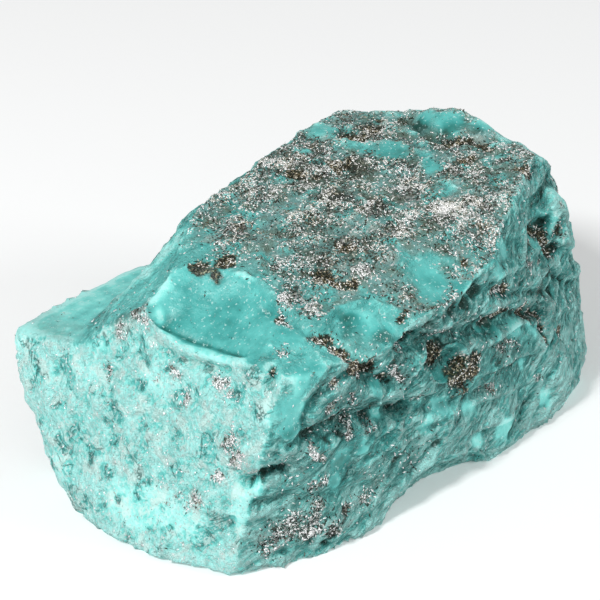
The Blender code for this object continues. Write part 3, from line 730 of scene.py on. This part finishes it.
# %% Put the skin and its masks into a mesh
def mesh_object(name, points, faces, masks):
    """A mesh object at the origin from points in mm, with one nbronze per point for each mask."""
    mesh = bpy.data.meshes.new(name)
    mesh.vertices.add(len(points))
    mesh.vertices.foreach_set("co", (points * MM).ravel())
    mesh.loops.add(faces.size)
    mesh.loops.foreach_set("vertex_index", faces.ravel())
    mesh.polygons.add(len(faces))
    mesh.polygons.foreach_set("loop_start", np.arange(len(faces)) * faces.shape[1])
    mesh.update(calc_edges=True)
    for label, values in masks.items():
        kind, slot = ("FLOAT", "value") if values.ndim == 1 else ("FLOAT_VECTOR", "vector")
        attribute = mesh.attributes.new(label, kind, "POINT")
        attribute.data.foreach_set(slot, values.ravel().astype(np.float32))
    thing = bpy.data.objects.new(name, mesh)
    bpy.context.scene.collection.objects.link(thing)
    return thing


# 0 is the palest turquoise and 1 the deepest.
tone = 0.42 - 0.40 * on_end + 0.12 * noise(plain, 4.0, 51) + 0.45 * deep
tone += on_side * (0.20 * rise(plain[:, 2], 5.0, 13.0) - 0.24)
tone += on_end * (0.10 * rise(10.0 - plain[:, 2], 0.0, 6.0) - 0.05)
tone = np.clip(tone + 0.08 * clean * on_top - 0.45 * pale - 0.24 * on_step, 0.0, 1.0)
masks = {"tone": tone, "pyrite": pyrite, "silver": silver, "rust": rust, "clean": clean, "matrix": matrix,
         "hollow": hollow, "proud": proud, "end": on_end, "side": broken, "dark": dark,
         "speckled": speckled * (1.0 - 0.95 * clean), "clumps": clumps, "bronze": bronze,
         "layers": layers(skin) * MM}
stone = mesh_object("turquoise_stone", skin, quads, masks)
stone.data.polygons.foreach_set("use_smooth", np.ones(len(quads), bool))
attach(stone, "root")
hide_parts("turquoise_nugget")

# %% [markdown]
# ## Loose grains of pyrite
#
# The specks that glitter are crystals about half a millimetre long, half sunk in the
# stone. Particles could strew them, but they are wanted as one plain mesh. Each is an
# octahedron drawn out in one direction, eight faces and no more because there are
# thousands, set on a random point of a random square of the skin, and more often where
# pyrite lies. Each keeps a number for how bright it shines, painted into its colour from
# dark reflection to white glint, and one for how brown it is.

# %% Grains
GRAINS = 24000
GRAIN_HALF = (0.27, 0.10, 0.07)  # mm: half length, half width, half height
GRAIN_SPREAD = (0.55, 1.25)      # the smallest and the largest, in those sizes


def grains(points, quads, weights, count, seed):
    """Corners, triangles and owner of count stretched octahedra on the skin.

    Corner i of a grain is its place plus or minus one half size along one of three
    axes: a random direction in the skin, the one across it, and the skin's normal.
    """
    random = np.random.default_rng(seed)
    a, b, c, d = (points[quads[:, k]] for k in range(4))
    across = np.cross(c - a, d - b)
    area = np.linalg.norm(across, axis=1)
    share = area * weights[quads].mean(axis=1)
    owner = random.choice(len(quads), count, p=share / share.sum())
    u, v = random.uniform(0.0, 1.0, (2, count, 1))
    near, far = (1 - u) * a[owner] + u * b[owner], (1 - u) * d[owner] + u * c[owner]
    place = (1 - v) * near + v * far
    up = across[owner] / area[owner, None]
    way = random.normal(size=(count, 3))
    way -= 0.75 * (way * up).sum(axis=1, keepdims=True) * up
    way /= np.linalg.norm(way, axis=1, keepdims=True)
    side = np.cross(up, way)
    side /= np.linalg.norm(side, axis=1, keepdims=True)
    third = np.cross(way, side)
    size = random.uniform(*GRAIN_SPREAD, (count, 1))
    half_length, half_width, half_height = GRAIN_HALF
    axes = np.stack([size * half_length * way, size * half_width * side, size * half_height * third], axis=1)
    corners = np.concatenate([place[:, None] + axes, place[:, None] - axes], axis=1)
    faces = np.array([(0, 1, 2), (1, 3, 2), (3, 4, 2), (4, 0, 2), (1, 0, 5), (3, 1, 5), (4, 3, 5), (0, 4, 5)])
    triangles = (faces + 6 * np.arange(count)[:, None, None]).reshape(-1, 3)
    return corners.reshape(-1, 3), triangles, quads[owner, 0]


crowd = 0.004 + pyrite ** 1.3 * (0.30 + 1.0 * clumps) + 0.50 * rust + 0.05 * matrix + 0.008 * on_end
crowd *= (1.0 - 0.95 * clean) * (1.0 - 0.6 * away) * rise(skin[:, 2], 0.3, 1.0)
corners, triangles, owner = grains(skin, quads, crowd, GRAINS, 71)
random = np.random.default_rng(72)
bright = 0.60 + 0.30 * noise(torn_points, 1.3, 73) + 0.25 * (clumps - 0.5) + 0.20 * silver
bright += 0.60 * on_end * (1.0 - pyrite) - 0.14 * rust - 0.12 * matrix - 0.14 * bronze
warm = np.clip(0.45 * speckled + 0.5 * noise(torn_points, 2.2, 74) * speckled + rust, 0.0, 1.0)
# Painted glints and dark reflections: each grain's brightness, at random round the local mean.
shine = np.clip(bright[owner] + random.uniform(-0.50, 0.50, GRAINS), 0.0, 1.0)
specks = mesh_object("pyrite_grains", corners, triangles,
                     {"shine": np.repeat(shine, 6), "warm": np.repeat(warm[owner], 6)})
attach(specks, "root")
print(GRAINS, "grains,", len(triangles), "triangles")

# %% [markdown]
# ## The finish
#
# Raw turquoise is waxy where it broke clean and chalky where it weathered. Its colour
# runs from nearly white through blue-green to deep teal, and host rock, pyrite and rust
# lie over that. An image could be painted and wrapped round, but it would stretch and
# blur. Noise in the shader is sharp at any distance, and the masks on the mesh say
# where each thing goes.

# %% Node helpers
def screen(red, green, blue):
    """Colour as seen on a screen, 0 to 255, turned into the linear value that light uses."""
    values = np.array([red, green, blue]) / 255.0
    linear = np.where(values <= 0.04045, values / 12.92, ((values + 0.055) / 1.055) ** 2.4)
    return (*linear.tolist(), 1.0)


def add(tree, kind, inputs=None, **settings):
    """A shader node with its settings; each input is a fixed value or another node's socket."""
    node = tree.nodes.new(kind)
    for name, value in settings.items():
        setattr(node, name, value)
    for name, value in (inputs or {}).items():
        if isinstance(value, bpy.types.NodeSocket):
            tree.links.new(value, node.inputs[name])
        else:
            node.inputs[name].default_value = value
    return node


def maths(operation, a, b=0.0, clamp=False):
    """One number worked out from two, of which one at least is a socket."""
    tree = (a if isinstance(a, bpy.types.NodeSocket) else b).id_data
    return add(tree, "ShaderNodeMath", {0: a, 1: b}, operation=operation, use_clamp=clamp).outputs[0]


def plus(a, b):
    return maths("ADD", a, b)


def times(a, b):
    return maths("MULTIPLY", a, b)


def less(a, b):
    return maths("SUBTRACT", a, b)


def blend(share, a, b):
    """Colour a turning into colour b as share goes from 0 to 1."""
    return add(share.id_data, "ShaderNodeMix", {0: share, 6: a, 7: b}, data_type="RGBA").outputs[2]


def ramp(value, low, high):
    """0 below low, 1 above high, smooth between."""
    node = add(value.id_data, "ShaderNodeMapRange", {"Value": value, "From Min": low, "From Max": high},
               interpolation_type="SMOOTHSTEP")
    return node.outputs[0]


def crest(value, width):
    """1 where the value crosses one half, 0 from width away."""
    return ramp(maths("ABSOLUTE", less(value, 0.5)), width, 0.0)


def palette(value, stops):
    """Colours read off a strip: stops are (place, (red, green, blue))."""
    node = value.id_data.nodes.new("ShaderNodeValToRGB")
    strip = node.color_ramp
    while len(strip.elements) < len(stops):
        strip.elements.new(1.0)
    for element, (place, colour) in zip(strip.elements, stops):
        element.position = place
        element.color = screen(*colour)
    value.id_data.links.new(value, node.inputs[0])
    return node.outputs[0]


def mask(tree, name):
    """One of the numbers kept on the mesh."""
    return add(tree, "ShaderNodeAttribute", attribute_name=name).outputs["Fac"]


# %% Noises of the stone
def cloud(where, size, detail=2.0):
    """Noise from 0 to 1 with features about size mm across."""
    inputs = {"Vector": where, "Scale": 1.0 / (size * MM), "Detail": detail}
    return add(where.id_data, "ShaderNodeTexNoise", inputs).outputs["Fac"]


def streaks(follow, size, detail):
    """Noise drawn out along the flaky layers and bent by its own distortion."""
    stretch = {0: follow, 1: (0.30, 0.6, 1.0)}
    drawn = add(follow.id_data, "ShaderNodeVectorMath", stretch, operation="MULTIPLY")
    inputs = {"Vector": drawn.outputs[0], "Scale": 1.0 / (size * MM), "Detail": detail, "Roughness": 0.62,
              "Distortion": 0.8}
    return add(follow.id_data, "ShaderNodeTexNoise", inputs).outputs["Fac"]


def flecks(where, size, cover, offset):
    """1 on specks about size mm across that cover the share of the surface that is asked for."""
    shift = {0: where, 1: (offset * MM, 0.0, 0.0)}
    moved = add(where.id_data, "ShaderNodeVectorMath", shift, operation="ADD")
    inputs = {"Vector": moved.outputs[0], "Scale": 1.0 / (size * MM), "Detail": 2.0, "Roughness": 0.6,
              "Distortion": 1.1}
    grain = add(where.id_data, "ShaderNodeTexNoise", inputs).outputs["Fac"]
    return ramp(plus(grain, times(cover, 0.47)), 0.70, 0.755)


# %% [markdown]
# ## Layers of colour
#
# Each layer is one short function. It takes the colour so far and gives it back with
# one more thing on it, so a layer can be left out or changed by itself. What several of
# them read, the masks and the noises that tear their edges, is made once beforehand.

# %% What the layers share
MASKS_READ = ("tone", "pyrite", "silver", "rust", "clean", "matrix", "hollow", "proud", "end", "side", "dark",
              "speckled", "clumps", "bronze")


def shared_sockets(tree):
    """The masks, and the noises and torn places that more than one layer reads."""
    at = SimpleNamespace(**{name: mask(tree, name) for name in MASKS_READ})
    at.where = add(tree, "ShaderNodeTexCoord").outputs["Object"]
    follow = add(tree, "ShaderNodeAttribute", attribute_name="layers").outputs["Vector"]
    at.wide, at.narrow = streaks(follow, 1.6, 6.0), streaks(follow, 0.55, 4.0)
    at.dirty = less(1.0, at.clean)
    at.place = cloud(at.where, 0.8, 5.0)
    at.torn = maths("ADD", plus(0.15, times(at.end, 0.08)), times(at.side, 0.85), clamp=True)
    at.torn = times(at.dirty, at.torn)
    # The end's cracks, sunk in the bump and darkened in colour as painted shadow.
    at.crack = times(times(crest(at.wide, 0.022), at.end), ramp(cloud(at.where, 2.6, 2.0), 0.53, 0.62))
    crowd = plus(at.pyrite, times(less(cloud(at.where, 1.1, 5.0), 0.5), 1.3))
    at.crowd = maths("MULTIPLY", crowd, ramp(at.pyrite, 0.02, 0.25), clamp=True)
    shade = less(plus(times(at.crowd, 0.68), times(at.rust, 0.5)), times(at.silver, 0.20))
    at.gaps = flecks(at.where, 0.42, shade, 7.0)
    # Where the painted glints lie, and how many.
    shine = plus(times(at.crowd, 0.46), times(at.silver, 0.20))
    shine = plus(shine, plus(times(at.torn, 0.05), times(at.end, 0.10)))
    at.glints = flecks(at.where, 0.34, shine, 0.0)
    return at


# %% Body colour and host rock
TURQUOISE = [(0.0, (170, 243, 237)), (0.14, (130, 228, 220)), (0.35, (98, 198, 192)),
             (0.6, (66, 166, 161)), (0.85, (38, 126, 119)), (1.05, (18, 74, 66))]
HOST_ROCK = [(0.36, (98, 94, 74)), (0.45, (112, 132, 122)), (0.55, (114, 156, 153)), (0.66, (168, 180, 172))]


def body_colour(at):
    """Pale to deep: the tone, drifting, streaked along the layers, painted highlight on edges and painted
    shade in hollows.
    """
    windows = times(ramp(cloud(at.where, 2.6, 3.0), 0.50, 0.62), at.end)
    shade = plus(at.tone, times(less(cloud(at.where, 1.8, 5.0), 0.5), 0.8))
    shade = plus(shade, times(windows, 0.50))
    # Painted highlight: paler on standing edges. Painted shade: deeper in hollows.
    shade = plus(less(shade, times(at.proud, 0.42)), times(at.hollow, 0.35))
    # The streaks of colour follow the layers and deepen where the bump sinks the same streaks: partly the
    # stone's own streaks, partly painted shade.
    streaky = plus(less(at.wide, 0.5), less(at.narrow, 0.5))
    shade = plus(shade, times(times(streaky, 2.2), at.torn))
    return palette(times(shade, less(1.0, times(at.end, 0.35))), TURQUOISE)


def host_rock(at, colour):
    """Grey rock mixed softly through the turquoise, in cloudy patches."""
    soft = plus(times(at.matrix, 0.8), times(at.pyrite, 0.95))
    tint = maths("MULTIPLY", soft, ramp(cloud(at.where, 1.5, 5.0), 0.22, 0.62), clamp=True)
    tint = maths("MAXIMUM", tint, times(at.speckled, ramp(cloud(at.where, 3.0, 3.0), 0.34, 0.52)))
    tint = times(tint, less(0.80, times(at.side, 0.38)))
    return blend(tint, colour, palette(cloud(at.where, 2.4, 4.0), HOST_ROCK))


# %% Seams, crests and crusts
def seams_and_crests(at, colour):
    """Painted shade in the seams between the flaky layers, in the hollows and at the shadow spots, and
    painted highlight on the crests.
    """
    # Painted shadow: dark green in the seams, where the bump sinks them too.
    seam_shadow = times(times(crest(at.wide, 0.022), at.torn), ramp(cloud(at.where, 3.0, 2.0), 0.48, 0.62))
    colour = blend(times(seam_shadow, 0.60), colour, screen(24, 64, 56))
    # Painted highlight: pale crests, more on standing edges.
    lit = plus(ramp(cloud(at.where, 2.2, 3.0), 0.44, 0.60), at.proud)
    pale = times(crest(at.narrow, 0.045), times(at.torn, lit))
    colour = blend(maths("MULTIPLY", pale, 0.70, clamp=True), colour, screen(172, 230, 223))
    # Painted shade: deep green in the hollows and the sunk streaks, and at the shadow spots.
    sunk = plus(at.hollow, times(less(at.wide, 0.5), times(at.torn, 1.5)))
    shadow = times(ramp(sunk, 0.50, 1.45), times(at.dirty, less(1.0, times(at.end, 0.8))))
    spot_shadow = ramp(plus(at.dark, times(less(at.place, 0.5), 0.9)), 0.10, 0.95)
    return blend(times(maths("MAXIMUM", shadow, spot_shadow), 0.85), colour, screen(14, 60, 46))


def chalk_and_edge_highlight(at, colour):
    """White crumbs on the pale end, and white flecks on standing edges as painted highlight."""
    # Chalk on the end; on standing edges the white is painted highlight.
    chalk_and_highlight = plus(times(at.end, 0.10), times(times(at.proud, at.dirty), 0.07))
    chalk_and_highlight = ramp(plus(cloud(at.where, 0.40, 4.0), chalk_and_highlight), 0.60, 0.70)
    return blend(times(chalk_and_highlight, 0.65), colour, screen(202, 244, 239))


def limed_end(at, colour):
    """Cream patches on the pale end, and painted shadow as thin dark teal lines in its cracks."""
    lime = times(at.end, ramp(cloud(at.where, 1.7, 6.0), 0.53, 0.62))
    colour = blend(times(lime, 0.60), colour, screen(216, 242, 236))
    # Painted shadow: dark teal in the cracks of the end.
    return blend(times(at.crack, 0.70), colour, screen(52, 140, 132))


# %% Pyrite and rust
GAP_COLOURS = [(0.40, (22, 18, 10)), (0.55, (58, 46, 26)), (0.66, (110, 94, 66))]
GLINT_COLOURS = [(0.36, (190, 186, 170)), (0.46, (226, 234, 230)), (0.56, (255, 255, 255))]
BRONZE_COLOURS = [(0.40, (28, 30, 14)), (0.52, (54, 58, 40)), (0.64, (90, 100, 84))]
RUST_COLOURS = [(0.12, (10, 18, 6)), (0.40, (34, 40, 20)), (0.60, (84, 84, 52)), (0.82, (204, 200, 164))]


def pyrite_flecks(at, colour):
    """Dark gaps, then bright flecks as painted glints, where grains too small to model lie."""
    colour = blend(times(at.gaps, 0.9), colour, palette(cloud(at.where, 0.5), GAP_COLOURS))
    # Painted glints: near-white flecks.
    return blend(times(at.glints, 0.95), colour, palette(cloud(at.where, 0.6), GLINT_COLOURS))


def bronze_gaps(at, colour):
    """Brown stone between the clumps of grains on the top."""
    gap = plus(times(less(1.0, at.clumps), 0.9), times(less(cloud(at.where, 0.7, 4.0), 0.5), 1.6))
    gap = times(ramp(gap, 0.44, 0.72), ramp(at.pyrite, 0.22, 0.65))
    gap = times(times(gap, at.bronze), times(at.speckled, 0.9))
    return blend(gap, colour, palette(cloud(at.where, 0.9, 3.0), BRONZE_COLOURS))


def rust_stain(at, colour):
    """An olive wash with a soft edge, partly rust stain and partly painted shadow of the cavities, and a
    mottled brown core inside it.
    """
    # The wash is partly rust stain and partly painted shadow of the cavities it lies in.
    wash_and_shadow = ramp(plus(at.rust, less(at.place, 0.5)), 0.05, 0.80)
    colour = blend(times(wash_and_shadow, 0.75), colour, screen(30, 54, 30))
    core = times(ramp(plus(at.rust, times(less(at.place, 0.5), 2.4)), 0.50, 0.95), 0.8)
    mottled = plus(times(less(cloud(at.where, 0.34, 3.0), 0.5), 3.0), 0.36)
    return blend(times(core, less(1.0, times(at.glints, 0.5))), colour, palette(mottled, RUST_COLOURS))


# %% Turquoise
BUMP_DEPTH = 0.48  # mm
LAYERS_OF_COLOUR = (host_rock, seams_and_crests, chalk_and_edge_highlight, limed_end, pyrite_flecks, bronze_gaps,
                    rust_stain)


def fine_height(at):
    """Grit, torn streaks, sharp crests, sunk cracks, raised flecks and sunk gaps, for the bump."""
    height = times(cloud(at.where, 0.45, 6.0), less(1.0, times(at.clean, 0.85)))
    height = less(height, times(times(less(at.narrow, 0.5), at.torn), 2.4))
    height = less(height, times(times(less(at.wide, 0.5), at.torn), 3.0))
    height = plus(height, times(times(crest(at.narrow, 0.07), at.torn), 0.50))
    height = less(height, times(plus(times(crest(at.wide, 0.04), at.torn), times(at.crack, 0.5)), 0.60))
    return less(plus(height, times(at.glints, 0.25)), times(at.gaps, 0.30))


def turquoise_material():
    """Layers of colour over the body colour, waxy where clean and matt elsewhere."""
    material = bpy.data.materials.new("turquoise")
    material.use_nodes = True
    tree = material.node_tree
    shader = tree.nodes["Principled BSDF"]
    at = shared_sockets(tree)
    colour = body_colour(at)
    for layer in LAYERS_OF_COLOUR:
        colour = layer(at, colour)
    rough = less(less(0.56, times(at.clean, 0.20)), times(at.glints, 0.22))
    bump_inputs = {"Height": fine_height(at), "Strength": 1.0, "Distance": BUMP_DEPTH * MM}
    bump = add(tree, "ShaderNodeBump", bump_inputs)
    tree.links.new(colour, shader.inputs["Base Color"])
    tree.links.new(times(at.glints, times(at.crowd, 0.15)), shader.inputs["Metallic"])
    tree.links.new(rough, shader.inputs["Roughness"])
    tree.links.new(bump.outputs[0], shader.inputs["Normal"])
    return material


stone.data.materials.append(turquoise_material())
print("turquoise:", len(stone.data.materials[0].node_tree.nodes), "nodes")

# %% Pyrite grains
# From dark to white: painted reflections and glints over the grains' silver and bronze.
SILVER_GRAINS = [(0.0, (18, 30, 22)), (0.22, (48, 66, 56)), (0.38, (108, 128, 118)),
                 (0.50, (190, 210, 204)), (0.64, (255, 255, 255))]
BRONZE_GRAINS = [(0.0, (22, 22, 6)), (0.24, (66, 60, 32)), (0.40, (128, 114, 84)),
                 (0.55, (206, 196, 172)), (0.72, (255, 255, 250))]


def pyrite_material():
    """Silver turning to bronze by how brown each grain is, and dark to white by how bright it shines: painted
    dark reflections and glints.
    """
    material = bpy.data.materials.new("pyrite")
    material.use_nodes = True
    tree = material.node_tree
    shader = tree.nodes["Principled BSDF"]
    shine, warm = mask(tree, "shine"), mask(tree, "warm")
    colour = blend(warm, palette(shine, SILVER_GRAINS), palette(shine, BRONZE_GRAINS))
    tree.links.new(colour, shader.inputs["Base Color"])
    tree.links.new(times(ramp(shine, 0.3, 0.6), 0.30), shader.inputs["Metallic"])
    shader.inputs["Roughness"].default_value = 0.25
    return material


specks.data.materials.append(pyrite_material())

# %% [markdown]
# ## Floor, lights and sky
#
# The stone stands on a sheet of pale paper that glows a little, so that it stays almost
# white under the stone. A small lamp high on the end's side makes the end the brightest
# face and gives the crests their edge, a large weak one opens the shadows of the ledged
# side, and a white sky fills the rest. A single sun would leave that side too dark.

# %% Floor, lights and sky
FLOOR_SIZE = 2000.0  # mm
edge = FLOOR_SIZE / 2
floor_corners = np.array([(-edge, -edge, 0.0), (edge, -edge, 0.0), (edge, edge, 0.0), (-edge, edge, 0.0)])
floor = mesh_object("floor", floor_corners, np.array([[0, 1, 2, 3]]), {})
paper = bpy.data.materials.new("paper")
paper.use_nodes = True
paper_shader = paper.node_tree.nodes["Principled BSDF"]
paper_shader.inputs["Base Color"].default_value = screen(240, 241, 241)
paper_shader.inputs["Roughness"].default_value = 0.9
paper_shader.inputs["Emission Color"].default_value = (1.0, 1.0, 1.0, 1.0)
paper_shader.inputs["Emission Strength"].default_value = 0.16
floor.data.materials.append(paper)


def softbox(name, towards, distance, size, watts):
    """A square lamp in the direction given, turned to face the stone."""
    light = bpy.data.objects.new(name, bpy.data.lights.new(name, "AREA"))
    light.data.size = size * MM
    light.data.energy = watts
    direction = Vector(towards).normalized()
    light.location = (Vector(LOOK_AT) + direction * distance) * MM
    light.rotation_euler = direction.to_track_quat("Z", "Y").to_euler()
    bpy.context.scene.collection.objects.link(light)


softbox("key", (-0.66, 0.02, 0.75), 500.0, 90.0, 1.75)
softbox("fill", (0.65, -1.0, 0.55), 600.0, 200.0, 1.15)
sky = bpy.data.worlds.new("sky")
bpy.context.scene.world = sky
sky.use_nodes = True
sky.node_tree.nodes["Background"].inputs["Color"].default_value = (1.0, 1.0, 1.0, 1.0)
sky.node_tree.nodes["Background"].inputs["Strength"].default_value = 0.36
print("lamps: key and fill, with a white sky")
